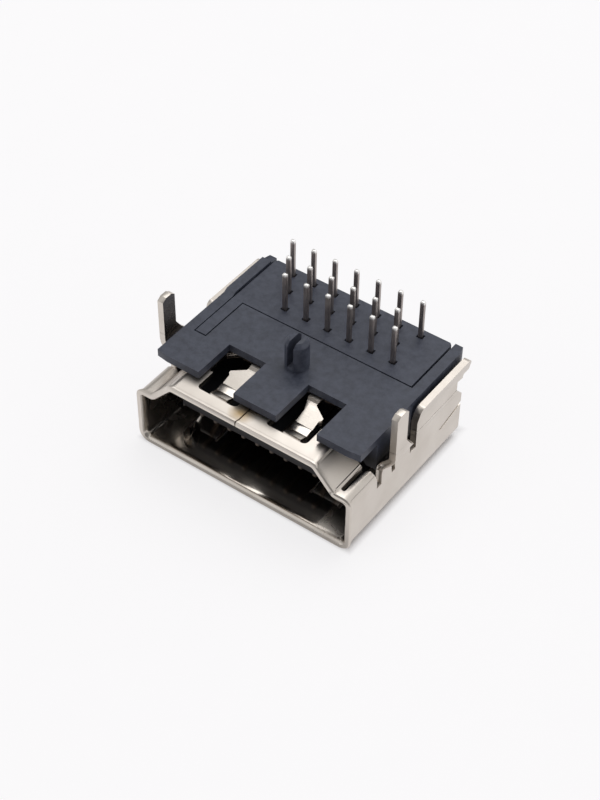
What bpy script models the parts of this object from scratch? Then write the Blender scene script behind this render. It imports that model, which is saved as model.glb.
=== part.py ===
"""Right-angle digital video socket with 19 contacts, soldered through a circuit board.

A folded sheet-metal shell with a D-shaped mouth holds a black moulding. The moulding carries
19 bent contacts, whose tails stand up through a second, slid-in plate that keeps them in line.
The board lies on top: the tails, the locating post and the two legs of the shell point up.

Lengths are in metres, +Z is up, +X is to the right seen from the mouth. Heights are measured
from the underside of the floor, and stations along Y from a plane just behind the flared lip.
One empty centres the whole on the frame.
"""

import math

import bmesh
import bpy
from mathutils import Matrix

# Sheet of the shell
SHEET = 0.00040
BEND = 0.00020
FLOOR_BEND = 0.00035
LIP = 0.00008
LIP_LENGTH = 0.00013
LIP_FLARE = 0.00009
LIP_ROOT = 0.00025

# Mouth, seen from the front, outer faces
MOUTH_HALF = 0.007385
SHELF_WIDTH = 0.001065
SHELF_Z = 0.003915
SLANT_RUN = 0.001345
NARROW_Z = 0.005385
MOUTH_LENGTH = 0.00250
VALLEY_HALF = MOUTH_HALF - SHELF_WIDTH
NARROW_HALF = VALLEY_HALF - SLANT_RUN

# Relief slits beside the slanted parts of the mouth: the left one almost closed, the right one open
RELIEF_START = 0.00045
LEFT_RELIEF_WIDTH = 0.00006
LEFT_RELIEF_SET_OUT = -0.00012
RIGHT_RELIEF_WIDTH = 0.00030
RIGHT_RELIEF_SET_OUT = 0.00004
SHELF_CORNER = 0.00030

# Side walls behind the mouth
WALL_SLIT = 0.00045
WALL_SLIT_Z = 0.00280
LEG_BASE = 0.00280
LEG_BASE_Z = 0.00360
WALL_SLOT = 0.00060
WALL_SLOT_Z = 0.00285
WALL_TOP_Z = 0.00583
WALL_CORNER = 0.00040
WALL_LEAN = 0.00021
WALL_LEAN_Z = 0.00470
WALL_REAR = 0.01160
FLOOR_REAR = 0.01110
NOTCH_REAR = 0.01050
NOTCH_LOW_Z = 0.00395
NOTCH_HIGH_Z = 0.00467
NOTCH_CHAMFER = 0.00058
HOOK_REAR = 0.01105
HOOK_Z = 0.00490
HEEL_RADIUS = 0.00035
HOLE_FRONT = 0.00395
HOLE_WIDTH = 0.00035
HOLE_LOW_Z = 0.00285
HOLE_HIGH_Z = 0.00375
HOLE_LEAN = 0.00008
TAB_SLIT = 0.00020
TAB_SLIT_START = 0.00890
TAB_SLIT_Z = 0.00210
TAB_SLIT_RISE = 0.00052

# Soldering legs, bent outwards from the side walls, the left one further than the right one
LEFT_LEG_OFFSET = 0.00095
LEFT_LEG_TIP_Z = 0.00790
RIGHT_LEG_OFFSET = 0.00064
RIGHT_LEG_TIP_Z = 0.00797
LEG_BEND = 0.00030
LEG_LOW_Z = 0.00390
LEG_HIGH_Z = 0.00455
LEG_SET_BACK = 0.00025
LEG_WIDTH = 0.00105
LEG_TIP_CHAMFER = 0.00030
LEG_TIP_TAPER = 0.00020
LEG_FRONT_Z = 0.00470
LEG_REAR_Z = 0.00493
LEG_NECK_Z = 0.00560
LEG_SHOULDER = 0.00045

# Apron: the narrow face carried on to the rear, with a window and a spring finger on each side
APRON_INSET = 0.00037
APRON_REAR = 0.00680
WINDOW_NEAR = 0.00100
WINDOW_FAR = 0.00375
WINDOW_STEP = 0.00030
WINDOW_STEP_Y = 0.00235
WINDOW_FRONT = 0.00085
WINDOW_REAR = 0.00450
WINDOW_CORNER = 0.00030
WINDOW_CHAMFER = 0.00050
FINGER_INNER = 0.00195
FINGER_OUTER = 0.00310
FINGER_ROOT_INNER = 0.00165
FINGER_ROOT_OUTER = 0.00240
FINGER_SHOULDER = 0.00012
FINGER_SHOULDER_Y = 0.00325
FINGER_TIP_Y = 0.00130
FINGER_DIP = 0.00058
FINGER_DIP_Y = 0.00185
FINGER_CURL = 0.00022
CREASE_Y = 0.00225
CREASE_RISE = 0.00010
CREASE_WIDTH = 0.00015
CREASE_DEPTH = 0.00004
CREASE_BEND = 0.00003

# Floor windows and their spring fingers
SILL_NEAR = 0.00328
SILL_FAR = 0.00540
SILL_FRONT = 0.00188
SILL_REAR = 0.00560
SILL_GAP = 0.00018
SILL_CORNER = 0.00008
SPRING_RISE = 0.00065
SPRING_CREST_Y = 0.00410
SPRING_TIP_Y = 0.00520
SPRING_CURL = 0.00030

# Interlocked seam in the middle of the narrow face
SEAM_WIDTH = 0.00005
SEAM_LEFT = -0.00030
SEAM_RIGHT = 0.00055
SEAM_FRONT = 0.00105
SEAM_REAR = 0.00250
SEAM_SLANT = 0.00012

# Fits between the pieces
SHELL_FIT = 0.00003
SLIDE_FIT = 0.00008
CONTACT_FIT = 0.00002

# Board-side plate of the moulding
BOARD_Z = 0.00607
PLATE = 0.00050
PLATE_FRONT = 0.00131
BRIDGE_FRONT = 0.00112
BRIDGE_HALF = 0.00146
PLATE_NOTCH_HALF = 0.00404
PLATE_NOTCH_REAR = 0.00413
PLATE_NOTCH_SHIFT = 0.00010
PLATE_CHAMFER_X = 0.00075
PLATE_CHAMFER_Y = 0.00010
PLATE_REAR = 0.00733

# Rails that hold the tail aligner
RAIL_WIDTH = 0.00065
RAIL_REAR = 0.01180
RAIL_LOW_Z = 0.00490
RAIL_CHAMFER_X = 0.00015
RAIL_CHAMFER_Y = 0.00055
RIDGE_HEIGHT = 0.00015
RIDGE_FRONT = 0.00750
RIDGE_RAMP = 0.00030

# Inside of the moulding
BULKHEAD_FRONT = 0.00690
BULKHEAD_REAR = 0.00760
TONGUE_HALF = 0.00570
TONGUE_FRONT = 0.00190
TONGUE_LOW_Z = 0.00175
TONGUE_HIGH_Z = 0.00315
TONGUE_CHAMFER = 0.00030
SHOULDER_FRONT = 0.00300
SHOULDER_LOW_Z = 0.00358
SHOULDER_SLOPE_Z = 0.00475
SHOULDER_LOW_INSET = 0.001085
SHOULDER_HIGH_INSET = 0.002185
SHOULDER_LOW_HALF = MOUTH_HALF - SHOULDER_LOW_INSET
SHOULDER_HIGH_HALF = MOUTH_HALF - SHOULDER_HIGH_INSET
CHEEK_REAR = 0.01030
CHEEK_WIDTH = 0.00065
BASE_Z = 0.00110

# Split locating post
POST_X = 0.00012
POST_Y = 0.00505
POST_DIAMETER = 0.00142
POST_HEIGHT = 0.00200
POST_CHAMFER = 0.00025
POST_SLOT = 0.00042
POST_SLOT_DEPTH = 0.00175

# Tail aligner
ALIGNER_REAR = 0.01170
ALIGNER_LOW_Z = 0.00497
ALIGNER_LEFT_GAP = 0.00005
ALIGNER_RIGHT_GAP = 0.00012
ALIGNER_CHAMFER = 0.00015
ARM_FRONT = 0.00395
ARM_WIDTH = 0.00073
TAIL_HOLE_WIDTH = 0.00042
TAIL_HOLE_LENGTH = 0.00036

# Contacts: one strip each, in two layers on the tongue and three rows of tails
CONTACTS = 19
PITCH = 0.00050
STRIP_WIDTH = 0.00028
STRIP = 0.00022
STRIP_BEND = 0.00012
STRIP_PROUD = 0.00010
TIP_Y = 0.00205
TAIL_Z = 0.00870
TAIL_TIP = 0.00012
TAIL_TAPER = 0.00004
ROW_Y = (0.01115, 0.00980, 0.00845)
ROW_Z = (0.00170, 0.00280, 0.00390)
ROW_JOG = (-0.00014, 0.00004, 0.00027)
STEP_INSET = 0.00005
JOG_GAP = 0.00005
JOG_LENGTH = 0.00050

# Overlap used wherever one shape is joined to, or cut through, another
LAP = 0.00050
WELD = 0.000001
FLAT = math.radians(0.2)
ARC_STEP = math.radians(15.0)
SLIGHT_TURN = math.radians(12.0)
MIDDLE_X = (RIGHT_LEG_OFFSET - LEFT_LEG_OFFSET) / 2.0
MIDDLE_Y = (RAIL_REAR - LIP_LENGTH) / 2.0

PLACING = {
    "X": Matrix(((0, 0, 1, 0), (1, 0, 0, 0), (0, 1, 0, 0), (0, 0, 0, 1))),
    "Y": Matrix(((1, 0, 0, 0), (0, 0, -1, 0), (0, 1, 0, 0), (0, 0, 0, 1))),
    "Z": Matrix.Identity(4),
}


def clear_scene():
    """Remove every object and the collections that held them."""
    for item in list(bpy.data.objects):
        bpy.data.objects.remove(item, do_unlink=True)
    for item in list(bpy.data.collections):
        bpy.data.collections.remove(item)


def new_collection(name):
    """Make a collection in the scene."""
    made = bpy.data.collections.new(name)
    bpy.context.scene.collection.children.link(made)
    return made


def material(name, colour, metallic, roughness):
    """One Principled material with a plain colour."""
    made = bpy.data.materials.new(name)
    made.use_nodes = True
    shader = made.node_tree.nodes["Principled BSDF"]
    shader.inputs["Base Color"].default_value = (*colour, 1.0)
    shader.inputs["Metallic"].default_value = metallic
    shader.inputs["Roughness"].default_value = roughness
    return made


def unit(start, end):
    """Direction from one point to the next."""
    dx, dy = end[0] - start[0], end[1] - start[1]
    length = math.hypot(dx, dy)
    return dx / length, dy / length


def offset(points, distance, closed=False):
    """Corners of the path that runs the given distance to the left of this one."""
    count = len(points)
    moved = []
    for i, (x, y) in enumerate(points):
        before = unit(points[i - 1], points[i]) if closed or i > 0 else None
        after = unit(points[i], points[(i + 1) % count]) if closed or i < count - 1 else None
        before, after = before or after, after or before
        reach = distance / (1.0 + before[0] * after[0] + before[1] * after[1])
        moved.append((x - (before[1] + after[1]) * reach, y + (before[0] + after[0]) * reach))
    return moved


def turns(points, closed=False):
    """Angle of the turn at each corner, positive to the left, and zero at open ends."""
    count = len(points)
    result = []
    for i in range(count):
        if not closed and i in (0, count - 1):
            result.append(0.0)
            continue
        before = unit(points[i - 1], points[i])
        after = unit(points[i], points[(i + 1) % count])
        cross = before[0] * after[1] - before[1] * after[0]
        dot = before[0] * after[0] + before[1] * after[1]
        result.append(math.atan2(cross, dot))
    return result


def rounded(points, radii, closed=False):
    """The path with its corners replaced by arcs; radii may be one number or one per corner."""
    count = len(points)
    if isinstance(radii, float):
        radii = [radii] * count
    path = []
    for i, (angle, radius) in enumerate(zip(turns(points, closed), radii)):
        x, y = points[i]
        if radius <= 0.0 or abs(angle) < SLIGHT_TURN:
            path.append((x, y))
            continue
        before = unit(points[i - 1], points[i])
        after = unit(points[i], points[(i + 1) % count])
        tangent = radius * math.tan(abs(angle) / 2.0)
        side = math.copysign(1.0, angle)
        start = (x - before[0] * tangent, y - before[1] * tangent)
        end = (x + after[0] * tangent, y + after[1] * tangent)
        centre = (start[0] - before[1] * radius * side, start[1] + before[0] * radius * side)
        steps = max(1, round(abs(angle) / ARC_STEP))
        path.append(start)
        for k in range(1, steps):
            turn = angle * k / steps
            arm = (start[0] - centre[0], start[1] - centre[1])
            path.append((centre[0] + arm[0] * math.cos(turn) - arm[1] * math.sin(turn),
                         centre[1] + arm[0] * math.sin(turn) + arm[1] * math.cos(turn)))
        path.append(end)
    return path


def sheet_faces(points, thickness, bends, closed=False):
    """Both faces of a bent sheet: the given path, and the one a thickness to its left."""
    count = len(points)
    if isinstance(bends, float):
        bends = [bends] * count
    left = [angle > 0.0 for angle in turns(points, closed)]
    here = [bend + thickness if inner else bend for bend, inner in zip(bends, left)]
    there = [bend if inner else bend + thickness for bend, inner in zip(bends, left)]
    return (rounded(points, here, closed),
            rounded(offset(points, thickness, closed), there, closed))


def sheet_section(points, thickness, bends):
    """Closed outline of a bent strip of sheet."""
    here, there = sheet_faces(points, thickness, bends)
    return here + there[::-1]


def centred_strip(points, thickness, bend):
    """Closed outline of a bent strip whose middle runs along the path."""
    return sheet_section(offset(points, -thickness / 2.0), thickness, bend)


def add_object(name, mesh, collection):
    """Put a mesh in the scene, in the given collection."""
    made = bpy.data.objects.new(name, mesh)
    collection.objects.link(made)
    if collection is TOOLS:
        made.hide_render = True
        made.display_type = "WIRE"
    return made


def prism(name, loops, axis, low, high, collection=None):
    """A flat outline, with holes if there is more than one loop, extruded along one axis.

    The outline is in (y, z) along X, in (x, z) along Y and in (x, y) along Z.
    """
    outline = bpy.data.curves.new(name, "CURVE")
    outline.dimensions = "2D"
    outline.fill_mode = "BOTH"
    outline.extrude = (high - low) / 2.0
    for loop in loops:
        spline = outline.splines.new("POLY")
        spline.points.add(len(loop) - 1)
        for point, (u, v) in zip(spline.points, loop):
            point.co = (u, v, 0.0, 1.0)
        spline.use_cyclic_u = True
    holder = bpy.data.objects.new(name + "_outline", outline)
    bpy.context.scene.collection.objects.link(holder)
    bpy.context.view_layer.update()
    evaluated = holder.evaluated_get(bpy.context.evaluated_depsgraph_get())
    mesh = bpy.data.meshes.new_from_object(evaluated)
    bpy.data.objects.remove(holder, do_unlink=True)
    mesh.name = name
    mesh.transform(PLACING[axis])
    shape = bmesh.new()
    shape.from_mesh(mesh)
    bmesh.ops.remove_doubles(shape, verts=shape.verts, dist=WELD)
    bmesh.ops.dissolve_degenerate(shape, dist=WELD, edges=shape.edges)
    index = "XYZ".index(axis)
    for vertex in shape.verts:
        vertex.co[index] = high if vertex.co[index] > 0.0 else low
    bmesh.ops.recalc_face_normals(shape, faces=shape.faces)
    bmesh.ops.dissolve_limit(shape, angle_limit=FLAT, verts=shape.verts, edges=shape.edges)
    shape.to_mesh(mesh)
    shape.free()
    return add_object(name, mesh, collection or TOOLS)


def both_sides(item):
    """Repeat a shape on the other side of the middle plane."""
    mirror = item.modifiers.new("other_side", "MIRROR")
    mirror.use_axis = (True, False, False)
    mirror.use_mirror_merge = False
    return item


def combine(item, other, operation):
    """Boolean of one object with another, or with all the objects of a collection."""
    boolean = item.modifiers.new(other.name, "BOOLEAN")
    boolean.operation = operation
    boolean.solver = "EXACT"
    if isinstance(other, bpy.types.Collection):
        boolean.operand_type = "COLLECTION"
        boolean.collection = other
    else:
        boolean.object = other
    return item


def join(item, other):
    return combine(item, other, "UNION")


def cut(item, other):
    return combine(item, other, "DIFFERENCE")


def keep(item, other):
    return combine(item, other, "INTERSECT")


def lining_corners(top_z, inset):
    """A wall, the floor and the other wall as one path, a given distance inside the outer faces."""
    half = MOUTH_HALF - inset
    return [(-half, top_z), (-half, inset), (half, inset), (half, top_z)]


def mouth_tube():
    """The mouth: a closed loft of rings round the D-shaped section, flared towards the lip."""
    right = [(MOUTH_HALF, 0.0), (MOUTH_HALF, SHELF_Z), (VALLEY_HALF, SHELF_Z), (NARROW_HALF, NARROW_Z)]
    corners = right + [(-x, z) for x, z in right[::-1]]
    bends = [FLOOR_BEND] + [BEND] * 6 + [FLOOR_BEND]
    outer, inner = sheet_faces(corners, SHEET, bends, closed=True)
    wide_outer, wide_inner = sheet_faces(offset(corners, -LIP_FLARE, True), SHEET, bends, closed=True)

    def towards(ring, other, share):
        return [(a[0] + (b[0] - a[0]) * share, a[1] + (b[1] - a[1]) * share)
                for a, b in zip(ring, other)]

    share = LIP / SHEET
    rings = [(towards(wide_outer, wide_inner, share), -LIP_LENGTH), (wide_outer, LIP - LIP_LENGTH),
             (outer, LIP_ROOT), (outer, MOUTH_LENGTH), (inner, MOUTH_LENGTH), (inner, LIP_ROOT),
             (wide_inner, LIP - LIP_LENGTH), (towards(wide_inner, wide_outer, share), -LIP_LENGTH)]
    shape = bmesh.new()
    loops = [[shape.verts.new((x, y, z)) for x, z in ring] for ring, y in rings]
    for this, following in zip(loops, loops[1:] + loops[:1]):
        for i in range(len(this)):
            shape.faces.new((this[i - 1], this[i], following[i], following[i - 1]))
    bmesh.ops.recalc_face_normals(shape, faces=shape.faces)
    mesh = bpy.data.meshes.new("shell")
    shape.to_mesh(mesh)
    shape.free()
    return add_object("shell", mesh, PARTS)


def side_walls():
    """Floor and side walls behind the mouth, the right one leaning out, trimmed in the side view."""
    leg_front = MOUTH_LENGTH + WALL_SLIT
    leg_rear = leg_front + LEG_BASE
    rear_front = leg_rear + WALL_SLOT
    top_z = WALL_TOP_Z + LAP
    top_half = MOUTH_HALF + WALL_LEAN * (top_z - WALL_LEAN_Z) / (WALL_TOP_Z - WALL_LEAN_Z)
    path = [(-MOUTH_HALF, top_z), (-MOUTH_HALF, 0.0), (MOUTH_HALF, 0.0),
            (MOUTH_HALF, WALL_LEAN_Z), (top_half, top_z)]
    channel = prism("channel", [sheet_section(path, SHEET, FLOOR_BEND)],
                    "Y", MOUTH_LENGTH - LAP, WALL_REAR + LAP)
    corners = [
        (MOUTH_LENGTH - 2 * LAP, -LAP, 0.0),
        (FLOOR_REAR - HEEL_RADIUS, -LAP, 0.0),
        (FLOOR_REAR - HEEL_RADIUS, 0.0, 0.0),
        (FLOOR_REAR, HEEL_RADIUS, 0.0),
        (FLOOR_REAR, NOTCH_LOW_Z - NOTCH_CHAMFER, 0.0),
        (NOTCH_REAR, NOTCH_LOW_Z, 0.0),
        (NOTCH_REAR, NOTCH_HIGH_Z, 0.0),
        (HOOK_REAR, NOTCH_HIGH_Z - LIP, 0.0),
        (HOOK_REAR, HOOK_Z, 0.0),
        (WALL_REAR, HOOK_Z, 0.0),
        (WALL_REAR, WALL_TOP_Z, WALL_CORNER),
        (rear_front, WALL_TOP_Z, WALL_CORNER),
        (rear_front, WALL_SLOT_Z, 0.0),
        (leg_rear, WALL_SLOT_Z, 0.0),
        (leg_rear, LEG_BASE_Z, 0.0),
        (leg_front, LEG_BASE_Z, 0.0),
        (leg_front, WALL_SLIT_Z, 0.0),
        (MOUTH_LENGTH - 2 * LAP, WALL_SLIT_Z, 0.0),
    ]
    radii = [radius for y, z, radius in corners]
    outline = rounded([(y, z) for y, z, radius in corners], radii, True)
    across = MOUTH_HALF + LAP
    return keep(channel, prism("side_view", [outline], "X", -across, across))


def leg(name, side, leg_offset, tip_z):
    """One leg: a strip bent outwards and up, trimmed to its outline in the side view.

    The side is 1 for the right and -1 for the left.
    """
    front = MOUTH_LENGTH + WALL_SLIT
    rear = front + LEG_BASE
    outboard = MOUTH_HALF + leg_offset
    low_z = WALL_SLIT_Z + (LEG_BASE_Z - WALL_SLIT_Z) / 4.0
    path = [(side * MOUTH_HALF, low_z), (side * MOUTH_HALF, LEG_LOW_Z),
            (side * outboard, LEG_HIGH_Z), (side * outboard, tip_z + LAP)]
    section = sheet_section(path[::side], SHEET, LEG_BEND)
    strip = prism(name, [section], "Y", front - LAP, rear + LAP)
    y0 = front + LEG_SET_BACK
    y1 = y0 + LEG_WIDTH
    outline = [
        (front, low_z - LAP), (rear, low_z - LAP), (rear, LEG_LOW_Z),
        (y1 + LEG_SHOULDER, LEG_REAR_Z), (y1, LEG_NECK_Z), (y1, tip_z - LEG_TIP_TAPER),
        (y1 - LEG_TIP_CHAMFER, tip_z), (y0 + LEG_TIP_CHAMFER, tip_z),
        (y0, tip_z - LEG_TIP_TAPER), (y0, LEG_FRONT_Z), (front, LEG_BASE_Z),
    ]
    low_x, high_x = sorted((0.0, side * (outboard + LAP)))
    return keep(strip, prism(name + "_outline", [outline], "X", low_x, high_x))


def narrow_finger():
    """Spring finger of a window in the narrow face, on the right, with a crease before its dip."""
    plan = [(FINGER_ROOT_INNER, WINDOW_REAR + LAP), (FINGER_ROOT_INNER, WINDOW_REAR - LAP),
            (FINGER_INNER, FINGER_SHOULDER_Y), (FINGER_INNER, FINGER_TIP_Y - LAP),
            (FINGER_OUTER, FINGER_TIP_Y - LAP), (FINGER_OUTER, FINGER_SHOULDER_Y - LAP / 2.0),
            (FINGER_OUTER + FINGER_SHOULDER, FINGER_SHOULDER_Y - LAP / 4.0),
            (FINGER_OUTER + FINGER_SHOULDER, FINGER_SHOULDER_Y),
            (FINGER_ROOT_OUTER, WINDOW_REAR - 1.5 * LAP), (FINGER_ROOT_OUTER, WINDOW_REAR + LAP)]
    dip_z = NARROW_Z - FINGER_DIP
    crest_z = dip_z + CREASE_RISE
    side = [(WINDOW_REAR + LAP / 2.0, NARROW_Z), (WINDOW_REAR - LAP / 2.0, NARROW_Z),
            (CREASE_Y + CREASE_WIDTH, crest_z - CREASE_DEPTH), (CREASE_Y, crest_z),
            (FINGER_DIP_Y, dip_z), (FINGER_TIP_Y, dip_z + FINGER_CURL)]
    section = sheet_section(side, SHEET, [BEND] * 2 + [CREASE_BEND] * 4)
    strip = prism("narrow_finger", [section], "X", WINDOW_NEAR, WINDOW_FAR)
    low, high = dip_z - SHEET - LAP, NARROW_Z + LAP
    return keep(strip, prism("narrow_finger_plan", [plan], "Z", low, high))


def floor_finger():
    """Spring finger of a window in the floor, on the right, rooted at its front."""
    crest_z = SHEET + SPRING_RISE
    side = [(SPRING_TIP_Y, crest_z - SPRING_CURL), (SPRING_CREST_Y + LAP, crest_z),
            (SPRING_CREST_Y, crest_z), (SILL_FRONT + LAP / 4.0, SHEET), (SILL_FRONT - LAP / 2.0, SHEET)]
    return prism("floor_finger", [sheet_section(side, SHEET, BEND)], "X",
                 SILL_NEAR + SILL_GAP, SILL_FAR - SILL_GAP)


def relief(name, side, set_out, width):
    """Slit beside one slanted part, from behind the lip to the mouth's end, with a rounded front.

    The side is 1 for the right and -1 for the left.
    """
    near = VALLEY_HALF + set_out
    far = near + width
    corners = [(near, RELIEF_START), (far, RELIEF_START), (far, MOUTH_LENGTH - SHELF_CORNER),
               (far + SHELF_CORNER, MOUTH_LENGTH + LIP), (near, MOUTH_LENGTH + LIP)]
    outline = rounded(corners, [width / 2.5] * 2 + [0.0] * 3, True)
    outline = [(side * x, y) for x, y in outline]
    return prism(name, [outline], "Z", SHELF_Z - SHEET - LAP / 2.0, SHELF_Z + LAP / 2.0)


def box(name, x, y, z, collection=None):
    """A plain block between two corners."""
    outline = [(x[0], y[0]), (x[1], y[0]), (x[1], y[1]), (x[0], y[1])]
    return prism(name, [outline], "Z", z[0], z[1], collection)


def make_shell():
    """Shell: mouth, walls, apron, legs and spring fingers in one sheet, then its cut-outs."""
    shell = mouth_tube()
    join(shell, side_walls())
    join(shell, leg("left_leg", -1, LEFT_LEG_OFFSET, LEFT_LEG_TIP_Z))
    join(shell, leg("right_leg", 1, RIGHT_LEG_OFFSET, RIGHT_LEG_TIP_Z))
    sheet_z = (NARROW_Z - SHEET, NARROW_Z)
    through_z = (NARROW_Z - SHEET - LAP / 2.0, NARROW_Z + LAP)
    apron = NARROW_HALF - APRON_INSET
    join(shell, box("apron", (-apron, apron), (MOUTH_LENGTH - LAP, APRON_REAR), sheet_z))

    corners = [(WINDOW_NEAR, WINDOW_FRONT), (WINDOW_FAR, WINDOW_FRONT), (WINDOW_FAR, WINDOW_STEP_Y),
               (WINDOW_FAR + WINDOW_STEP, WINDOW_STEP_Y),
               (WINDOW_FAR + WINDOW_STEP, WINDOW_REAR - WINDOW_CHAMFER),
               (WINDOW_FAR + WINDOW_STEP - WINDOW_CHAMFER, WINDOW_REAR), (WINDOW_NEAR, WINDOW_REAR)]
    window = rounded(corners, [WINDOW_CORNER] * 2 + [0.0] * 5, True)
    cut(shell, both_sides(prism("window", [window], "Z", *through_z)))
    corners = [(SILL_NEAR, SILL_FRONT), (SILL_FAR, SILL_FRONT), (SILL_FAR, SILL_REAR),
               (SILL_NEAR, SILL_REAR)]
    floor_window = rounded(corners, [SILL_CORNER] * 2 + [0.0] * 2, True)
    cut(shell, both_sides(prism("floor_window", [floor_window], "Z", -LAP, SHEET + LAP)))
    join(shell, both_sides(narrow_finger()))
    join(shell, both_sides(floor_finger()))

    cut(shell, relief("left_relief", -1, LEFT_RELIEF_SET_OUT, LEFT_RELIEF_WIDTH))
    cut(shell, relief("right_relief", 1, RIGHT_RELIEF_SET_OUT, RIGHT_RELIEF_WIDTH))
    hole = [(HOLE_FRONT, HOLE_LOW_Z), (HOLE_FRONT + HOLE_WIDTH, HOLE_LOW_Z),
            (HOLE_FRONT + HOLE_WIDTH - HOLE_LEAN, HOLE_HIGH_Z), (HOLE_FRONT - HOLE_LEAN, HOLE_HIGH_Z)]
    across = MOUTH_HALF + LAP
    cut(shell, prism("wall_hole", [hole], "X", -across, across))
    slope = TAB_SLIT_RISE / (FLOOR_REAR - TAB_SLIT_START)
    slit_end = FLOOR_REAR + LAP
    slit = [(TAB_SLIT_START, TAB_SLIT_Z), (slit_end, TAB_SLIT_Z + slope * (slit_end - TAB_SLIT_START))]
    cut(shell, prism("tab_slit", [centred_strip(slit, TAB_SLIT, BEND)], "X", -across, across))

    seam = [(SEAM_LEFT, -LAP), (SEAM_LEFT, SEAM_FRONT), (SEAM_RIGHT, SEAM_FRONT + SEAM_SLANT),
            (SEAM_RIGHT, SEAM_REAR - SEAM_SLANT), (SEAM_LEFT, SEAM_REAR), (SEAM_LEFT, APRON_REAR + LAP)]
    cut(shell, prism("seam", [centred_strip(seam, SEAM_WIDTH, 0.0)], "Z", *through_z))
    shell.data.materials.append(material("nickel plated steel", (0.72, 0.70, 0.67), 1.0, 0.25))
    return shell


def contact_strip(name, number, extra, end_y, collection):
    """One contact, or the room for it when extra is its clearance, as far as end_y."""
    row = number % 3
    layer = TONGUE_LOW_Z if number % 2 == 0 else TONGUE_HIGH_Z
    side = STRIP_PROUD - STRIP / 2.0
    level = layer - side if number % 2 == 0 else layer + side
    step_front = BULKHEAD_FRONT + STEP_INSET
    step_rear = BULKHEAD_REAR - STEP_INSET
    path = [(TIP_Y - extra, level), (step_front, level), (step_rear, ROW_Z[row])]
    if end_y is None:
        path += [(ROW_Y[row], ROW_Z[row]), (ROW_Y[row], TAIL_Z)]
    else:
        path.append((end_y, ROW_Z[row]))
    thickness = STRIP + 2.0 * extra
    half = STRIP_WIDTH / 2.0 + extra
    outline = centred_strip(path, thickness, STRIP_BEND)
    made = prism(name, [outline], "X", -half, half, collection)

    jog_start = BULKHEAD_REAR + JOG_GAP
    jog_end = jog_start + JOG_LENGTH
    middle = (number - (CONTACTS - 1) / 2.0) * PITCH
    shape = bmesh.new()
    shape.from_mesh(made.data)
    stations = [((0.0, jog_start, 0.0), (0.0, 1.0, 0.0)), ((0.0, jog_end, 0.0), (0.0, 1.0, 0.0)),
                ((0.0, 0.0, TAIL_Z - TAIL_TIP), (0.0, 0.0, 1.0))]
    for point, normal in stations:
        everything = shape.verts[:] + shape.edges[:] + shape.faces[:]
        bmesh.ops.bisect_plane(shape, geom=everything, dist=WELD, plane_co=point, plane_no=normal)
    for vertex in shape.verts:
        if vertex.co.z > TAIL_Z - WELD:
            vertex.co.x *= 1.0 - TAIL_TAPER / half
        share = min(max((vertex.co.y - jog_start) / JOG_LENGTH, 0.0), 1.0)
        vertex.co.x += middle + ROW_JOG[row] * share
    shape.to_mesh(made.data)
    shape.free()
    return made


def tail_place(number):
    """Where a contact's tail passes the board face."""
    row = number % 3
    return (number - (CONTACTS - 1) / 2.0) * PITCH + ROW_JOG[row], ROW_Y[row]


def make_contacts():
    """The contacts, left to right, with the room that each needs in the moulding and the aligner."""
    metal = material("plated copper alloy", (0.66, 0.63, 0.60), 1.0, 0.3)
    for number in range(CONTACTS):
        contact = contact_strip("contact_%02d" % (number + 1), number, 0.0, None, PARTS)
        contact.data.materials.append(metal)
        groove = "groove_%02d" % (number + 1)
        contact_strip(groove, number, CONTACT_FIT, BULKHEAD_REAR + LAP, GROOVES)
        x, y = tail_place(number)
        box("tail_hole_%02d" % (number + 1),
            (x - TAIL_HOLE_WIDTH / 2.0, x + TAIL_HOLE_WIDTH / 2.0),
            (y - TAIL_HOLE_LENGTH / 2.0, y + TAIL_HOLE_LENGTH / 2.0),
            (ALIGNER_LOW_Z - LAP, BOARD_Z + LAP), TAIL_HOLES)


def plate_outline(half):
    """Plan of the moulding's board-side plate, with the two notches over the spring fingers."""
    notch = [(BRIDGE_HALF, BRIDGE_FRONT), (BRIDGE_HALF, PLATE_NOTCH_REAR),
             (PLATE_NOTCH_HALF, PLATE_NOTCH_REAR), (PLATE_NOTCH_HALF, PLATE_FRONT)]
    edge = [(half - PLATE_CHAMFER_X, PLATE_FRONT), (half, PLATE_FRONT + PLATE_CHAMFER_Y),
            (half, PLATE_REAR)]
    right = [(PLATE_NOTCH_SHIFT + x, y) for x, y in notch] + edge
    left = [(PLATE_NOTCH_SHIFT - x, y) for x, y in notch] + [(-x, y) for x, y in edge]
    return right + left[::-1]


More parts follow.
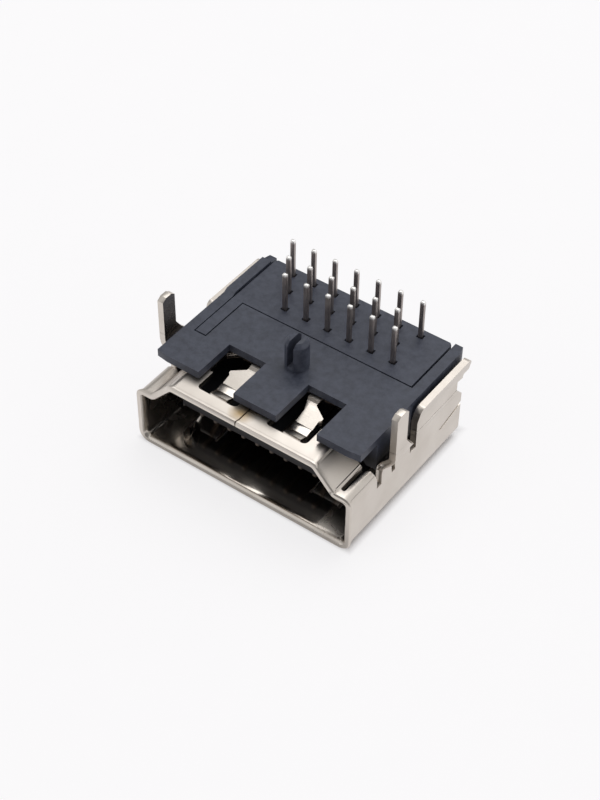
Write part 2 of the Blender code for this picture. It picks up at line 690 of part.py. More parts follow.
def make_housing():
    """Moulding: plate, rails, bulkhead, tongue, shoulders, cheeks and post, joined in one body."""
    half = MOUTH_HALF - SHEET - SHELL_FIT
    lining = SHEET + SHELL_FIT
    below = BOARD_Z - PLATE
    housing = prism("housing", [plate_outline(half)], "Z", below, BOARD_Z, PARTS)

    inside = half - RAIL_WIDTH
    chamfer_y = RAIL_REAR - RAIL_CHAMFER_Y
    rail = [(inside, PLATE_REAR - LAP / 4.0), (half, PLATE_REAR - LAP / 4.0), (half, chamfer_y),
            (half - RAIL_CHAMFER_X, RAIL_REAR), (inside, RAIL_REAR)]
    join(housing, both_sides(prism("rail", [rail], "Z", RAIL_LOW_Z, BOARD_Z)))
    ridge_z = BOARD_Z + RIDGE_HEIGHT
    ridge = [(RIDGE_FRONT, BOARD_Z), (RIDGE_FRONT, BOARD_Z - LAP), (chamfer_y, BOARD_Z - LAP),
             (chamfer_y, ridge_z), (RIDGE_FRONT + RIDGE_RAMP, ridge_z)]
    join(housing, prism("ridge", [ridge], "X", -half, -inside))

    section = rounded(lining_corners(RAIL_LOW_Z, lining), FLOOR_BEND)
    join(housing, prism("bulkhead", [section], "Y", BULKHEAD_FRONT, BULKHEAD_REAR))
    join(housing, box("bulkhead_top", (-half, half), (BULKHEAD_FRONT, PLATE_REAR),
                      (RAIL_LOW_Z - LAP, BOARD_Z - PLATE / 2.0)))

    middle_z = (TONGUE_LOW_Z + TONGUE_HIGH_Z) / 2.0
    nose = (TONGUE_HIGH_Z - TONGUE_LOW_Z) / 2.0 - TONGUE_CHAMFER
    buried = BULKHEAD_FRONT + LAP / 2.0
    tongue = [(buried, TONGUE_LOW_Z), (buried, TONGUE_HIGH_Z),
              (TONGUE_FRONT + TONGUE_CHAMFER, TONGUE_HIGH_Z), (TONGUE_FRONT, middle_z + nose),
              (TONGUE_FRONT, middle_z - nose), (TONGUE_FRONT + TONGUE_CHAMFER, TONGUE_LOW_Z)]
    join(housing, prism("tongue", [tongue], "X", -TONGUE_HALF, TONGUE_HALF))

    top_z = below + PLATE / 2.0
    shoulder = [(SHOULDER_LOW_HALF, SHOULDER_LOW_Z), (half, SHOULDER_LOW_Z), (half, top_z),
                (SHOULDER_HIGH_HALF, top_z), (SHOULDER_HIGH_HALF, SHOULDER_SLOPE_Z)]
    join(housing, both_sides(prism("shoulder", [shoulder], "Y", SHOULDER_FRONT, buried)))

    cheek_half = half - CHEEK_WIDTH
    cheeks = rounded(lining_corners(RAIL_LOW_Z, lining), FLOOR_BEND)
    cheeks += [(cheek_half, RAIL_LOW_Z), (cheek_half, BASE_Z),
               (-cheek_half, BASE_Z), (-cheek_half, RAIL_LOW_Z)]
    join(housing, prism("cheeks", [cheeks], "Y", BULKHEAD_REAR - LAP / 2.0, CHEEK_REAR))

    join(housing, post())
    arm_room = ALIGNER_LEFT_GAP + ARM_WIDTH + SLIDE_FIT
    cut(housing, box("arm_recess", (-inside, -inside + arm_room),
                     (ARM_FRONT - SLIDE_FIT, PLATE_REAR + LAP), (below, BOARD_Z + LAP)))
    cut(housing, GROOVES)
    housing.data.materials.append(material("black moulding", (0.045, 0.05, 0.06), 0.0, 0.5))
    return housing


def post():
    """Locating post: a chamfered cylinder, split along Y."""
    radius = POST_DIAMETER / 2.0
    foot = BOARD_Z - PLATE / 2.0
    profile = [(0.0, BOARD_Z + POST_HEIGHT), (radius - POST_CHAMFER, BOARD_Z + POST_HEIGHT),
               (radius, BOARD_Z + POST_HEIGHT - POST_CHAMFER), (radius, foot), (0.0, foot)]
    mesh = bpy.data.meshes.new("post")
    edges = [(i, i + 1) for i in range(len(profile) - 1)]
    mesh.from_pydata([(x, 0.0, z) for x, z in profile], edges, [])
    made = add_object("post", mesh, TOOLS)
    made.location = (POST_X, POST_Y, 0.0)
    turn = made.modifiers.new("turn", "SCREW")
    turn.steps = 32
    turn.render_steps = 32
    turn.use_merge_vertices = True
    turn.merge_threshold = WELD
    return cut(made, box("post_slot", (POST_X - POST_SLOT / 2.0, POST_X + POST_SLOT / 2.0),
                         (POST_Y - POST_DIAMETER, POST_Y + POST_DIAMETER),
                         (BOARD_Z + POST_HEIGHT - POST_SLOT_DEPTH, BOARD_Z + POST_HEIGHT + LAP)))


def make_aligner():
    """Tail aligner: a plate slid in between the rails, with one arm along the left edge."""
    inside = MOUTH_HALF - SHEET - SHELL_FIT - RAIL_WIDTH
    left, right = ALIGNER_LEFT_GAP - inside, inside - ALIGNER_RIGHT_GAP
    front = PLATE_REAR + SLIDE_FIT
    chamfer_y = ALIGNER_REAR - ALIGNER_CHAMFER
    plan = [(left, front), (right, front), (right, chamfer_y), (right - ALIGNER_CHAMFER, ALIGNER_REAR),
            (left + ALIGNER_CHAMFER, ALIGNER_REAR), (left, chamfer_y)]
    aligner = prism("tail_aligner", [plan], "Z", ALIGNER_LOW_Z, BOARD_Z, PARTS)
    join(aligner, box("arm", (left, left + ARM_WIDTH), (ARM_FRONT, front + LAP),
                      (BOARD_Z - PLATE + SLIDE_FIT, BOARD_Z)))
    cut(aligner, TAIL_HOLES)
    aligner.data.materials.append(material("black moulding, aligner", (0.05, 0.055, 0.065), 0.0, 0.5))
    return aligner


clear_scene()
PARTS = new_collection("digital_video_socket")
TOOLS = new_collection("construction")
GROOVES = new_collection("contact_grooves")
TAIL_HOLES = new_collection("tail_holes")

make_shell()
make_contacts()
make_housing()
make_aligner()

centre = bpy.data.objects.new("socket_centre", None)
PARTS.objects.link(centre)
centre.location = (-MIDDLE_X, -MIDDLE_Y, LIP_FLARE)
for collection in (PARTS, TOOLS, GROOVES, TAIL_HOLES):
    for item in collection.objects:
        if item is not centre:
            item.parent = centre
        if collection is not PARTS:
            item.hide_render = True
            item.display_type = "WIRE"
bpy.context.view_layer.update()
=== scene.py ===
"""Looks of a right-angle digital video socket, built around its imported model.

The sections follow the object as it is put together: the table it lies on, the folded shell, the
moulding inside it, the tail aligner slid in behind, and the 19 contacts.
"""

import math

import bmesh
import bpy
import numpy as np
from mathutils import Matrix, Vector


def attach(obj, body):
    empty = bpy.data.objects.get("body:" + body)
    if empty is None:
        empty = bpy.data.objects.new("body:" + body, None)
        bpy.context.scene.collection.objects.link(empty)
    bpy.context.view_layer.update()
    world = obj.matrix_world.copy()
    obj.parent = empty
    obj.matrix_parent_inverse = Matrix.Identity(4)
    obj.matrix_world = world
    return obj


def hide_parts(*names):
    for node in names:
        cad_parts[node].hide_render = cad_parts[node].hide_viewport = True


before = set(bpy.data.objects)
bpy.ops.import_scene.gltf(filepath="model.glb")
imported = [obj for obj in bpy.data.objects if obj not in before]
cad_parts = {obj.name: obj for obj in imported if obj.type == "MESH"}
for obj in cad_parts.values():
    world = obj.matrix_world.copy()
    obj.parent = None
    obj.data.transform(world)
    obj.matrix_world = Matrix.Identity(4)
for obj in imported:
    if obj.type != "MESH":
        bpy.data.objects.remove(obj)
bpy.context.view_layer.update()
MM = 0.001

# Table, lamps and camera
# The socket lies on a sheet of white card that fills the picture. One round softbox hangs behind and
# above it, so its shadow falls softly towards the viewer. The room around it is even, but dark on the
# viewer's side and dim at the left rear, as the metal shows. Directions point from the socket.

CARD_WHITE = "#fdfcfd"
CARD_FIBRE = "#f8f7f9"
CARD_LIT = "#fffeff"
FIBRE_SIZE = 3.0
CARD_SIZE = 3000 * MM
CARD_GLOW = 0.78
# Painted shade on the card: half sizes, fade and extra reach in reflections, in mm, of the patch around
# the socket where the lift is taken off
SHADE_HALF = (7.15, 5.60)
SHADE_FADE = 0.5
SHADE_REACH = (0.0, 3.5)
ROOM_LEVEL = 0.88
ROOM_DARK = 0.22
DARK_SIDE = (0.42, -0.76, 0.50)
DIM_SIDE = (-0.83, 0.45, 0.33)
DIM_SHARE = 0.40
SIDE_FADE = (0.45, 0.92)
SOFTBOX_FROM = (-60, 215, 450)
SOFTBOX_WIDTH = 470
SOFTBOX_WATTS = 0.92
VIEW_AZIMUTH = 35.549
VIEW_ELEVATION = 44.722
VIEW_ROLL = 0.687
VIEW_DISTANCE = 96.162
VIEW_ASIDE = 3.278
VIEW_ABOVE = 5.157
VIEW_FOCAL = 76.39
# The middle of the mouth, 0.13 mm behind its front edge and level with the underside of the floor
MOUTH_MIDDLE = (0.155, -5.835, 0.09)


def tone(code):
    """Linear colour of an sRGB hex value, with an alpha of one."""
    channels = np.array([int(code[i:i + 2], 16) for i in (1, 3, 5)]) / 255.0
    linear = np.where(channels <= 0.04045, channels / 12.92, ((channels + 0.055) / 1.055) ** 2.4)
    return (*linear.tolist(), 1.0)


def add(tree, kind, inputs=None, **settings):
    """Add one shader node: settings are its own options, inputs are values or outputs to link in."""
    node = tree.nodes.new("ShaderNode" + kind)
    for name, value in settings.items():
        setattr(node, name, value)
    for name, value in (inputs or {}).items():
        if isinstance(value, bpy.types.NodeSocket):
            tree.links.new(value, node.inputs[name])
        else:
            node.inputs[name].default_value = value
    return node


def new_finish(name):
    """An empty node material."""
    finish = bpy.data.materials.new(name)
    finish.use_nodes = True
    finish.node_tree.nodes.clear()
    return finish, finish.node_tree


def card_finish():
    """Uncoated white card: matt, with the faint cloudiness of paper fibre about 3 mm across.

    To the camera, and in metal, it is lifted towards white, and the rest of it keeps the shadow. The
    lift fades out beneath the socket, so that the card seen through its slots stays in the dark, and
    also in a band just outside the socket's footprint, which is painted shade. In reflections the fade
    reaches 3.5 mm further along Y, which paints shade onto the card seen in the metal in front of the
    lip and behind the socket.
    """
    finish, tree = new_finish("white card, uncoated")
    place = add(tree, "TexCoord").outputs["Object"]
    fibre = add(tree, "TexNoise", {"Vector": place, "Scale": 1.0 / (FIBRE_SIZE * MM), "Detail": 3.0})
    tint = add(tree, "Mix", {0: fibre.outputs["Fac"], 6: tone(CARD_WHITE), 7: tone(CARD_FIBRE)},
               data_type="RGBA")
    card = add(tree, "BsdfPrincipled", {"Base Color": tint.outputs[2], "Roughness": 0.9,
                                        "Specular IOR Level": 0.2})
    path = add(tree, "LightPath").outputs
    seen = add(tree, "Math", {0: path["Is Camera Ray"], 1: path["Is Glossy Ray"]}, operation="MAXIMUM")
    seen = add(tree, "Math", {0: seen.outputs[0], 1: path["Is Transmission Ray"]}, operation="MAXIMUM")
    away = add(tree, "VectorMath", {0: place, 1: (MOUTH_MIDDLE[0] * MM, 0.0, 0.0)}, operation="SUBTRACT")
    away = add(tree, "VectorMath", {0: away.outputs[0]}, operation="ABSOLUTE")
    away = add(tree, "SeparateXYZ", {0: away.outputs[0]}).outputs
    # Painted shade: the lift is taken off in a rectangle a little larger than the socket, reaching 3.5 mm
    # further along Y for glossy rays
    clear = []
    for axis in (0, 1):
        edge = add(tree, "Math", {0: path["Is Glossy Ray"], 1: SHADE_REACH[axis] * MM,
                                  2: (SHADE_HALF[axis] + SHADE_FADE) * MM}, operation="MULTIPLY_ADD")
        clear.append(add(tree, "MapRange", {"Value": away[axis], "From Min": SHADE_HALF[axis] * MM,
                                            "From Max": edge.outputs[0]}).outputs[0])
    clear = add(tree, "Math", {0: clear[0], 1: clear[1]}, operation="MAXIMUM")
    seen = add(tree, "Math", {0: seen.outputs[0], 1: clear.outputs[0]}, operation="MULTIPLY")
    share = add(tree, "Math", {0: seen.outputs[0], 1: CARD_GLOW}, operation="MULTIPLY")
    white = add(tree, "Emission", {"Color": tone(CARD_LIT), "Strength": 1.0})
    look = add(tree, "MixShader", {0: share.outputs[0], 1: card.outputs[0], 2: white.outputs[0]})
    add(tree, "OutputMaterial", {"Surface": look.outputs[0]})
    return finish


half = CARD_SIZE / 2.0
card_mesh = bpy.data.meshes.new("white_card")
card_mesh.from_pydata([(-half, -half, 0), (half, -half, 0), (half, half, 0), (-half, half, 0)], [],
                      [(0, 1, 2, 3)])
card_mesh.materials.append(card_finish())
card = bpy.data.objects.new("white_card", card_mesh)
bpy.context.scene.collection.objects.link(card)

scene = bpy.context.scene
scene.view_settings.view_transform = "Standard"
scene.world = bpy.data.worlds.new("room")
scene.world.use_nodes = True
room = scene.world.node_tree
room.nodes.clear()
toward = add(room, "TexCoord").outputs["Generated"]
facing = add(room, "VectorMath", {0: toward, 1: DARK_SIDE}, operation="DOT_PRODUCT")
level = add(room, "MapRange", {"Value": facing.outputs["Value"], "From Min": SIDE_FADE[0],
                               "From Max": SIDE_FADE[1], "To Min": ROOM_LEVEL, "To Max": ROOM_DARK},
            interpolation_type="SMOOTHSTEP")
facing = add(room, "VectorMath", {0: toward, 1: DIM_SIDE}, operation="DOT_PRODUCT")
dim = add(room, "MapRange", {"Value": facing.outputs["Value"], "From Min": SIDE_FADE[0],
                             "From Max": SIDE_FADE[1], "To Min": 1.0, "To Max": DIM_SHARE},
          interpolation_type="SMOOTHSTEP")
level = add(room, "Math", {0: level.outputs[0], 1: dim.outputs[0]}, operation="MULTIPLY")
seen = add(room, "LightPath").outputs["Is Camera Ray"]
level = add(room, "Math", {0: level.outputs[0], 1: seen}, operation="MAXIMUM")
air = add(room, "Background", {"Color": tone("#ffffff"), "Strength": level.outputs[0]})
add(room, "OutputWorld", {"Surface": air.outputs[0]})

lamp = bpy.data.lights.new("softbox", "AREA")
lamp.shape = "DISK"
lamp.size = SOFTBOX_WIDTH * MM
lamp.energy = SOFTBOX_WATTS
softbox = bpy.data.objects.new("softbox", lamp)
scene.collection.objects.link(softbox)
softbox.location = Vector(SOFTBOX_FROM) * MM
softbox.rotation_euler = (-softbox.location).to_track_quat("-Z", "Y").to_euler()

azimuth, elevation, roll = (math.radians(a) for a in (VIEW_AZIMUTH, VIEW_ELEVATION, VIEW_ROLL))
back = Vector((math.sin(azimuth) * math.cos(elevation), -math.cos(azimuth) * math.cos(elevation),
               math.sin(elevation)))
right = Vector((math.cos(azimuth), math.sin(azimuth), 0.0))
above = back.cross(right)
right, above = (right * math.cos(roll) + above * math.sin(roll),
                above * math.cos(roll) - right * math.sin(roll))
lens = bpy.data.cameras.new("studio_camera")
lens.sensor_width = 36.0
lens.lens = VIEW_FOCAL
lens.clip_start = 1.0 * MM
camera = bpy.data.objects.new("studio_camera", lens)
scene.collection.objects.link(camera)
stand = Vector(MOUTH_MIDDLE) + right * VIEW_ASIDE + above * VIEW_ABOVE + back * VIEW_DISTANCE
camera.matrix_world = Matrix.Translation(stand * MM) @ Matrix((right, above, back)).transposed().to_4x4()
scene.camera = camera

# Shell
# One stamping of cold-rolled steel 0.4 mm thick, folded into a mouth with a dovetail seam, then plated
# with bright nickel. The punch rounds one side of each cut edge, and the folds are a little burnished.
# Most pairs below are the stations, in millimetres, between which the finish or the form changes.

SHELL_EDGE = 0.030 * MM
NICKEL_PALE = "#d8d1c9"
NICKEL_DULL = "#c9c1b8"
STAIN_BROWN = "#9a7d48"
SEAM_DARK = "#3a2c1c"
ROLLING_LINES = 0.12
RUB_SIZE = 1.6
ROUGH_INSIDE = 0.26
ROUGH_OUTSIDE = 0.38
ROUGH_SPREAD = 0.04
FINGER_SMOOTHING = -0.45
MOUTH_AXIS = (0.155 * MM, 0.0, 2.6 * MM)
NARROW_FACE_Z = (5.36, 5.42)
FINGER_TOP_Z = (5.30, 5.38)
FINGER_SIDE_X = (5.10, 5.20)
FACE_FALL = (-5.75, -3.35)
FACE_RISE = 0.13
LIP_FALL = (-5.95, -5.62)
LIP_RISE = 0.12
SHELF_START_X = (6.2, 6.3)
SHELF_LOW_Z = (3.80, 3.84)
SHELF_HIGH_Z = (4.10, 4.14)
SHELF_X = (6.40, 7.40)
SHELF_Y = (-5.90, -3.20)
SHELF_RISE = (0.20, 0.72)
FINGER_ROOT = (-4.65 * MM, -4.35 * MM, 0.49 * MM)
ROOT_TURN = -0.62
ROOT_NARROWING = (1.8, 0.8, 1.0)
ROOT_REACH = 0.95
ROOT_RISE = 0.20
SEAM_STAIN = (-0.30 * MM, -5.05 * MM, 5.47 * MM)
STAIN_REACH = (0.20, 0.90)
SEAM_X = -0.145 * MM
SEAM_BREADTH = (0.02, 0.06)
SEAM_Z = (5.30, 5.40)


def finished_copy(name, node, edge):
    """The node's solid with its triangles merged into whole faces and its edges rounded.

    Each edge sharper than 30 degrees gets a round of the given radius, in two steps. The large
    faces keep their own normal up to their borders, so that they shine as flat sheet does.
    """
    shape = bmesh.new()
    shape.from_mesh(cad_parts[node].data)
    bmesh.ops.remove_doubles(shape, verts=shape.verts, dist=0.0005 * MM)
    bmesh.ops.dissolve_limit(shape, angle_limit=math.radians(0.5), verts=shape.verts, edges=shape.edges)
    mesh = bpy.data.meshes.new(name)
    shape.to_mesh(mesh)
    shape.free()
    mesh.shade_smooth()
    item = bpy.data.objects.new(name, mesh)
    bpy.context.scene.collection.objects.link(item)
    bevel = item.modifiers.new("worn_edges", "BEVEL")
    bevel.width = edge
    bevel.segments = 2
    bevel.limit_method = "ANGLE"
    bevel.angle_limit = math.radians(30.0)
    bevel.use_clamp_overlap = True
    flats = item.modifiers.new("flat_faces", "WEIGHTED_NORMAL")
    flats.mode = "FACE_AREA"
    flats.weight = 100
    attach(item, "root")
    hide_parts(node)
    return item


def bright_nickel():
    """Bright nickel plating on rolled steel: a warm grey mirror, softened by rolling lines.

    Nickel reflects about 66, 61 and 53 percent of red, green and blue, which gives the eye its warm
    grey. The rolling lines run across the socket, along X. They are about 0.05 mm apart on such sheet
    and drawn 0.12 mm apart here so that they show. The outside is satin, rubbed by the tool's dies, and
    the faces that look into the mouth are smoother, which makes them dark and sharp. The spring fingers
    are smoother, too. The narrow face falls a little towards the lip, the right shelf leans outwards
    and the floor swells at the root of its left finger, which turns their shine. The seam is a dark
    line with a brown stain beside it.
    """
    finish, tree = new_finish("bright nickel plating, folded steel")
    place = add(tree, "TexCoord").outputs["Object"]
    along = add(tree, "Mapping", {"Vector": place, "Scale": (0.12, 1.0, 1.0)})
    lines = add(tree, "TexNoise", {"Vector": along.outputs[0], "Scale": 1.0 / (ROLLING_LINES * MM),
                                    "Detail": 3.0})
    clouds = add(tree, "TexNoise", {"Vector": place, "Scale": 1.0 / (RUB_SIZE * MM), "Detail": 4.0})
    tint = add(tree, "Mix", {0: clouds.outputs["Fac"], 6: tone(NICKEL_PALE), 7: tone(NICKEL_DULL)},
               data_type="RGBA")
    outward = add(tree, "VectorMath", {0: place, 1: MOUTH_AXIS}, operation="SUBTRACT")
    outward = add(tree, "VectorMath", {0: outward.outputs[0], 1: (1.0, 0.0, 1.0)}, operation="MULTIPLY")
    outward = add(tree, "VectorMath", {0: outward.outputs[0], 1: add(tree, "TexCoord").outputs["Normal"]},
                  operation="DOT_PRODUCT")
    satin = add(tree, "MapRange", {"Value": outward.outputs["Value"], "From Min": -0.2 * MM,
                                   "From Max": 0.2 * MM, "To Min": ROUGH_INSIDE, "To Max": ROUGH_OUTSIDE})
    rough = add(tree, "MapRange", {"Value": clouds.outputs["Fac"], "From Min": 0.3, "From Max": 0.7,
                                   "To Min": -ROUGH_SPREAD, "To Max": ROUGH_SPREAD})
    rough = add(tree, "Math", {0: satin.outputs[0], 1: rough.outputs[0]}, operation="ADD")
    x, y, z = add(tree, "SeparateXYZ", {0: place}).outputs

    def ramp(value, start, stop, low=0.0, high=1.0):
        """A straight rise of a coordinate between two stations in millimetres."""
        return add(tree, "MapRange", {"Value": value, "From Min": start * MM, "From Max": stop * MM,
                                      "To Min": low, "To Max": high}).outputs[0]

    def times(first, second):
        """The product of two values."""
        return add(tree, "Math", {0: first, 1: second}, operation="MULTIPLY").outputs[0]

    fall = add(tree, "Math", {0: ramp(y, *FACE_FALL, 0.0, FACE_RISE),
                              1: ramp(y, *LIP_FALL, 0.0, LIP_RISE)}, operation="ADD").outputs[0]
    fall = times(fall, ramp(z, *NARROW_FACE_Z))
    shelf = times(ramp(x, *SHELF_START_X),
                  times(ramp(z, *SHELF_LOW_Z), ramp(z, *SHELF_HIGH_Z, 1.0, 0.0)))
    crown = add(tree, "Math", {0: ramp(x, *SHELF_X, SHELF_RISE[0], 0.0),
                               1: ramp(y, *SHELF_Y, 0.0, SHELF_RISE[1])}, operation="ADD").outputs[0]
    form = add(tree, "Math", {0: crown, 1: shelf, 2: fall}, operation="MULTIPLY_ADD")
    root = add(tree, "VectorMath", {0: place, 1: FINGER_ROOT}, operation="SUBTRACT").outputs[0]
    root = add(tree, "Mapping", {"Vector": root, "Rotation": (0.0, 0.0, ROOT_TURN)}).outputs[0]
    root = add(tree, "VectorMath", {0: root, 1: ROOT_NARROWING}, operation="MULTIPLY").outputs[0]
    root = add(tree, "VectorMath", {0: root}, operation="LENGTH").outputs["Value"]
    root = add(tree, "MapRange", {"Value": root, "From Max": ROOT_REACH * MM, "To Min": ROOT_RISE,
                                  "To Max": 0.0}, interpolation_type="SMOOTHSTEP").outputs[0]
    form = add(tree, "Math", {0: form.outputs[0], 1: root}, operation="ADD")
    form = add(tree, "Bump", {"Height": form.outputs[0], "Distance": MM})
    relief = add(tree, "Bump", {"Height": lines.outputs["Fac"], "Strength": 0.05,
                                "Distance": 0.02 * MM, "Normal": form.outputs[0]})
    aside = add(tree, "Math", {0: x}, operation="ABSOLUTE").outputs[0]
    finger = times(ramp(z, *FINGER_TOP_Z, 1.0, 0.0), ramp(aside, *FINGER_SIDE_X, 1.0, 0.0))
    rough = add(tree, "Math", {0: times(times(finger, satin.outputs[0]), FINGER_SMOOTHING),
                               1: rough.outputs[0]}, operation="ADD")
    seam = add(tree, "VectorMath", {0: place, 1: SEAM_STAIN}, operation="DISTANCE").outputs["Value"]
    stain = times(ramp(seam, *STAIN_REACH, 1.0, 0.0),
                  add(tree, "MapRange", {"Value": clouds.outputs["Fac"], "From Min": 0.35, "From Max": 0.6,
                                         "To Min": 0.5, "To Max": 1.0}).outputs[0])
    tint = add(tree, "Mix", {0: stain, 6: tint.outputs[2], 7: tone(STAIN_BROWN)}, data_type="RGBA")
    line = add(tree, "Math", {0: x, 1: SEAM_X}, operation="SUBTRACT").outputs[0]
    line = ramp(add(tree, "Math", {0: line}, operation="ABSOLUTE").outputs[0], *SEAM_BREADTH, 1.0, 0.0)
    line = times(line, ramp(z, *SEAM_Z))
    tint = add(tree, "Mix", {0: line, 6: tint.outputs[2], 7: tone(SEAM_DARK)}, data_type="RGBA")
    plating = add(tree, "BsdfPrincipled", {"Base Color": tint.outputs[2], "Metallic": 1.0,
                                           "Roughness": rough.outputs[0], "Normal": relief.outputs[0]})
    add(tree, "OutputMaterial", {"Surface": plating.outputs[0]})
    return finish


shell = finished_copy("folded_shell", "shell", SHELL_EDGE)
shell.data.materials.append(bright_nickel())

# Moulding
# One injection moulding in black glass-filled polyamide, pushed into the shell from behind.
# Its skin is the fine spark-eroded grain of the tool, with a slight sheen.

MOULDING_EDGE = 0.035 * MM
MOULDING_TONES = ("#303441", "#464a57")
# Painted shade: the colour of the moulding low down, and the heights in mm over which it fades out
MOUTH_SHADE_BLACK = "#1b1b20"
MOUTH_SHADE_Z = (4.4, 5.3)
GRAIN_SIZE = 0.10
CLOUD_SIZE = 0.45
FLOW_SIZE = 0.45
FLOW_TURN = 0.35
FLOW_SHARE = 3.0


def moulded_polyamide(name, base, cloudy):
    """Moulded black polyamide: a slate-dark skin with the fine grain of a spark-eroded tool.

    The grain is 0.04 mm on the real part and drawn 0.10 mm across here, so that it shows as a slight
    mottle in the sheen. Glass fibre near the skin leaves paler clouds about 0.5 mm across, and the
    melt leaves flow marks, drawn out along the width, that tip the sheen a little. Every part lower
    than 4.4 mm, fading out by 5.3 mm, is darkened to painted shade, meant for the tongue in the mouth.
    """
    finish, tree = new_finish(name)
    place = add(tree, "TexCoord").outputs["Object"]
    grain = add(tree, "TexNoise", {"Vector": place, "Scale": 1.0 / (GRAIN_SIZE * MM), "Detail": 2.0})
    clouds = add(tree, "TexNoise", {"Vector": place, "Scale": 1.0 / (CLOUD_SIZE * MM),
                                    "Detail": 5.0, "Roughness": 0.65})
    share = add(tree, "MapRange", {"Value": clouds.outputs["Fac"], "From Min": 0.35, "From Max": 0.65})
    tint = add(tree, "Mix", {0: share.outputs[0], 6: tone(base), 7: tone(cloudy)},
               data_type="RGBA")
    rough = add(tree, "MapRange", {"Value": clouds.outputs["Fac"], "From Min": 0.3, "From Max": 0.7,
                                   "To Min": 0.40, "To Max": 0.55})
    along = add(tree, "Mapping", {"Vector": place, "Scale": (0.3, 1.0, 1.0),
                                   "Rotation": (0.0, 0.0, FLOW_TURN)})
    flow = add(tree, "TexNoise", {"Vector": along.outputs[0], "Scale": 1.0 / (FLOW_SIZE * MM),
                                  "Detail": 3.0})
    height = add(tree, "Math", {0: flow.outputs["Fac"], 1: FLOW_SHARE, 2: grain.outputs["Fac"]},
                 operation="MULTIPLY_ADD")
    relief = add(tree, "Bump", {"Height": height.outputs[0], "Strength": 0.35,
                                "Distance": 0.01 * MM})
    height = add(tree, "SeparateXYZ", {0: place}).outputs[2]
    # Painted shade: below 4.4 mm, fading out by 5.3 mm, the moulding is darkened, for the tongue in the
    # mouth
    mouth_shade = add(tree, "MapRange", {"Value": height, "From Min": MOUTH_SHADE_Z[0] * MM,
                                  "From Max": MOUTH_SHADE_Z[1] * MM})
    tint = add(tree, "Mix", {0: mouth_shade.outputs[0], 6: tone(MOUTH_SHADE_BLACK), 7: tint.outputs[2]},
               data_type="RGBA")
    skin = add(tree, "BsdfPrincipled", {"Base Color": tint.outputs[2], "Roughness": rough.outputs[0],
                                        "Specular IOR Level": 0.42, "Normal": relief.outputs[0]})
    add(tree, "OutputMaterial", {"Surface": skin.outputs[0]})
    return finish


moulding = finished_copy("moulding", "housing", MOULDING_EDGE)
moulding.data.materials.append(moulded_polyamide("moulded polyamide, black", *MOULDING_TONES))

# Tail aligner
# A second black moulding, a plate with a hole for each tail, slid in between the rails from behind.

ALIGNER_EDGE = 0.030 * MM
ALIGNER_TONES = ("#313543", "#474b58")

aligner = finished_copy("slid_in_aligner", "tail_aligner", ALIGNER_EDGE)
aligner.data.materials.append(moulded_polyamide("moulded polyamide, aligner", *ALIGNER_TONES))

# Contacts
# Each is a strip stamped from phosphor bronze and plated, pressed into the tongue in one of two layers,
# stepped up or down inside the bulkhead to the height of its row, and bent up through the aligner. Its
# end is sheared off. Its lengths are in millimetres and its stations start at the middle of the mouth.

CONTACTS = 19
PITCH = 0.50
STRIP_HALF_WIDTH = 0.14
STRIP_HALF = 0.11
STRIP_CORNER = 0.035
BEND_RADIUS = 0.23
BEND_STEPS = 7
TIP_Y = 2.05
LEVELS = (1.74, 3.16)
STEP_Y = (6.95, 7.55)
JOG_Y = (7.65, 8.15)
ROW_Y = (11.15, 9.80, 8.45)
ROW_Z = (1.70, 2.80, 3.90)
ROW_JOG = (-0.14, 0.04, 0.27)
TAIL_Z = 8.70
END_INSET = (0.0, 0.03, 0.09)
END_SIZE = (0.62, 0.9, 1.0)

# Tones of the plating, with a painted shade for the low part in the tongue, and the heights above the
# table between which they change
TAIL_TONES = ("#b7afab", "#8d8480")
TONGUE_SHADE_TONE = "#625b56"
SHEARED_TONE = "#f4f2ef"
TONGUE_SHADE_Z = (4.5, 5.5)
SHEARED_Z = (8.55, 8.70)
DRAWN_LINES = 0.08
TARNISH_SIZE = 0.7


def rounded_oblong(half_width, half_height, radius, steps=3):
    """Corners of a rectangle with quarter-round corners: each is centre + radius * (cos a, sin a)."""
    angles = (np.arange(4)[:, None] + np.linspace(0.0, 1.0, steps + 1)[None, :]) * math.pi / 2.0
    sides = np.array([(1, 1), (-1, 1), (-1, -1), (1, -1)], float)
    centres = sides * (half_width - radius, half_height - radius)
    ring = centres[:, None, :] + radius * np.stack([np.cos(angles), np.sin(angles)], -1)
    return ring.reshape(-1, 2)


def bent_line(corners, radius, steps):
    """A path in (y, z) with an arc at each corner, and the direction at each of its points.

    With direction a before the bend and n the unit normal towards its inside, the arc is
    start + radius * (a sin t + n (1 - cos t)), and its direction is a cos t + n sin t.
    """
    corners = np.asarray(corners, float)
    along = np.diff(corners, axis=0)
    along /= np.linalg.norm(along, axis=1)[:, None]
    points, directions = [corners[:1]], [along[:1]]
    for corner, a, b in zip(corners[1:-1], along, along[1:]):
        turn = math.acos(np.clip(a @ b, -1.0, 1.0))
        n = b - a * (a @ b)
        n /= np.linalg.norm(n)
        start = corner - a * radius * math.tan(turn / 2.0)
        t = np.linspace(0.0, turn, steps + 1)[:, None]
        points.append(start + radius * (a * np.sin(t) + n * (1.0 - np.cos(t))))
        directions.append(a * np.cos(t) + n * np.sin(t))
    points.append(corners[-1:])
    directions.append(along[-1:])
    return np.concatenate(points), np.concatenate(directions)


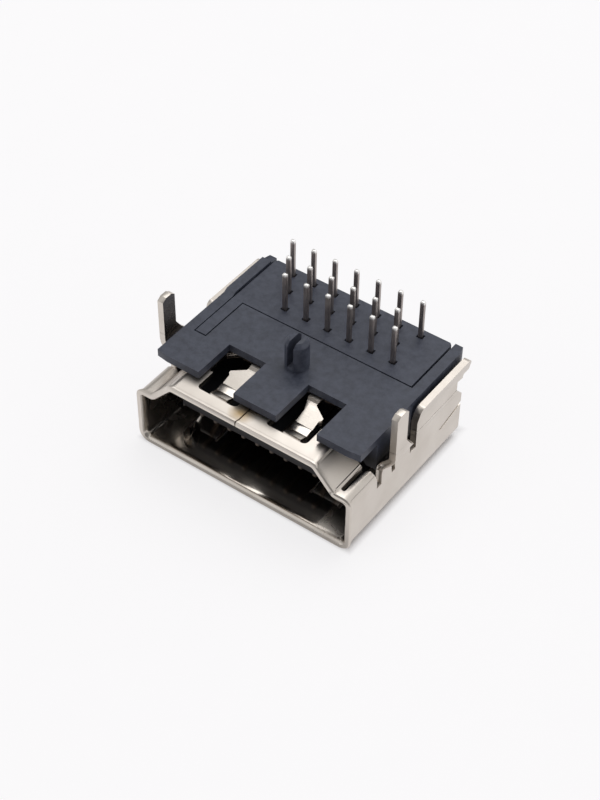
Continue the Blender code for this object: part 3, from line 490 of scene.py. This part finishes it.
def contact_strip(number):
    """One contact: a rounded oblong carried along its bent line, which shrinks at both closed ends.

    A point is centre(s) + u X + v N(s), with X across the strip and N square to the path, and its x is
    moved by the sideways jog behind the bulkhead.
    """
    row = number % 3
    level = LEVELS[number % 2]
    middle = (number - (CONTACTS - 1) / 2.0) * PITCH
    centre, direction = bent_line([(TIP_Y, level), (STEP_Y[0], level), (STEP_Y[1], ROW_Z[row]),
                                   (ROW_Y[row], ROW_Z[row]), (ROW_Y[row], TAIL_Z)],
                                  BEND_RADIUS, BEND_STEPS)
    inset = np.array(END_INSET)
    size = np.array(END_SIZE)
    centre = np.concatenate([centre[:1] + inset[:, None] * direction[:1], centre[1:-1],
                             centre[-1:] - inset[::-1, None] * direction[-1:]])
    direction = np.concatenate([np.repeat(direction[:1], 3, 0), direction[1:-1],
                                np.repeat(direction[-1:], 3, 0)])
    scale = np.ones(len(centre))
    scale[:3], scale[-3:] = size, size[::-1]
    ring = rounded_oblong(STRIP_HALF_WIDTH, STRIP_HALF, STRIP_CORNER)
    u, v = ring[:, 0][None, :] * scale[:, None], ring[:, 1][None, :] * scale[:, None]
    y = centre[:, :1] - direction[:, 1:] * v
    z = centre[:, 1:] + direction[:, :1] * v
    share = np.clip((y - JOG_Y[0]) / (JOG_Y[1] - JOG_Y[0]), 0.0, 1.0)
    x = middle + u + ROW_JOG[row] * share * share * (3.0 - 2.0 * share)
    points = (np.stack([x, y, z], -1).reshape(-1, 3) + MOUTH_MIDDLE) * MM
    rings, sides = len(centre), len(ring)
    i, j = np.meshgrid(np.arange(rings - 1), np.arange(sides), indexing="ij")
    k = (j + 1) % sides
    quads = np.stack([i * sides + j, (i + 1) * sides + j, (i + 1) * sides + k, i * sides + k], -1)
    faces = quads.reshape(-1, 4).tolist()
    faces.append(list(range(sides)))
    faces.append([(rings - 1) * sides + j for j in range(sides)][::-1])
    mesh = bpy.data.meshes.new("bent_contact_%02d" % (number + 1))
    mesh.from_pydata(points.tolist(), [], faces)
    return mesh


def plated_bronze():
    """Plated phosphor bronze: a duller, browner grey than the shell, with drawn lines along the tails.

    The tails are tinned, with pale sheared ends. Below 4.5 mm, fading out by 5.5 mm, which takes in
    the part that lies in the tongue, the colour is darkened to painted shade. The lines are drawn
    0.08 mm apart so that they show.
    """
    finish, tree = new_finish("plated phosphor bronze, stamped strip")
    place = add(tree, "TexCoord").outputs["Object"]
    along = add(tree, "Mapping", {"Vector": place, "Scale": (1.0, 1.0, 0.15)})
    lines = add(tree, "TexNoise", {"Vector": along.outputs[0], "Scale": 1.0 / (DRAWN_LINES * MM),
                                    "Detail": 2.0})
    clouds = add(tree, "TexNoise", {"Vector": place, "Scale": 1.0 / (TARNISH_SIZE * MM), "Detail": 3.0})
    tint = add(tree, "Mix", {0: clouds.outputs["Fac"], 6: tone(TAIL_TONES[0]), 7: tone(TAIL_TONES[1])},
               data_type="RGBA")
    height = add(tree, "SeparateXYZ", {0: place}).outputs[2]
    # Painted shade: below 4.5 mm, fading out by 5.5 mm, the plating is darkened, for the part in the
    # tongue
    bright = add(tree, "MapRange", {"Value": height, "From Min": TONGUE_SHADE_Z[0] * MM,
                                    "From Max": TONGUE_SHADE_Z[1] * MM})
    tint = add(tree, "Mix", {0: bright.outputs[0], 6: tone(TONGUE_SHADE_TONE), 7: tint.outputs[2]},
               data_type="RGBA")
    sheared = add(tree, "MapRange", {"Value": height, "From Min": SHEARED_Z[0] * MM,
                                     "From Max": SHEARED_Z[1] * MM})
    tint = add(tree, "Mix", {0: sheared.outputs[0], 6: tint.outputs[2], 7: tone(SHEARED_TONE)},
               data_type="RGBA")
    rough = add(tree, "MapRange", {"Value": lines.outputs["Fac"], "From Min": 0.3, "From Max": 0.7,
                                   "To Min": 0.32, "To Max": 0.46})
    relief = add(tree, "Bump", {"Height": lines.outputs["Fac"], "Strength": 0.15,
                                "Distance": 0.01 * MM})
    plating = add(tree, "BsdfPrincipled", {"Base Color": tint.outputs[2], "Metallic": 1.0,
                                           "Roughness": rough.outputs[0], "Normal": relief.outputs[0]})
    add(tree, "OutputMaterial", {"Surface": plating.outputs[0]})
    return finish


bronze = plated_bronze()
for number in range(CONTACTS):
    mesh = contact_strip(number)
    mesh.materials.append(bronze)
    mesh.shade_smooth()
    mesh.set_sharp_from_angle(angle=math.radians(50.0))
    contact = bpy.data.objects.new(mesh.name, mesh)
    scene.collection.objects.link(contact)
    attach(contact, "root")
    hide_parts("contact_%02d" % (number + 1))
